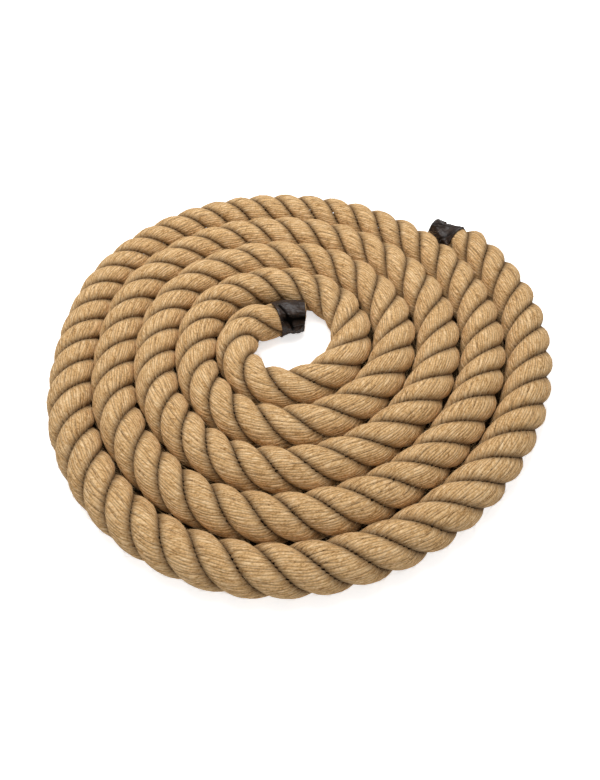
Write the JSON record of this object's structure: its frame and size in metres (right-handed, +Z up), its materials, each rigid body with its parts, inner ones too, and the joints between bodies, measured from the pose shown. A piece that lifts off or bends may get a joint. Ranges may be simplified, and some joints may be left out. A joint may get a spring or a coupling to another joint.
{
  "type": "coiled rope",
  "caption": "Thick natural-fibre laid rope for gym training, lying in a flat spiral coil, its cut ends bound with black tape.",
  "frame": {"origin": "on the floor that the coil lies on, under the middle of its outer box", "axes": "+Z up, square to the coil's plane; +X to the right and +Y away from the viewer, as in the reference view"},
  "size_m": [0.4362, 0.4182, 0.0346],
  "materials": {
    "jute": "natural jute yarn, matt and slightly hairy",
    "binding_tape": "black vinyl tape, glossy and creased"
  },
  "bodies": {
    "root": {"strand_1": "jute", "strand_2": "jute", "strand_3": "jute", "inner_end_tape": "binding_tape", "outer_end_tape": "binding_tape"}
  },
  "joints": []
}
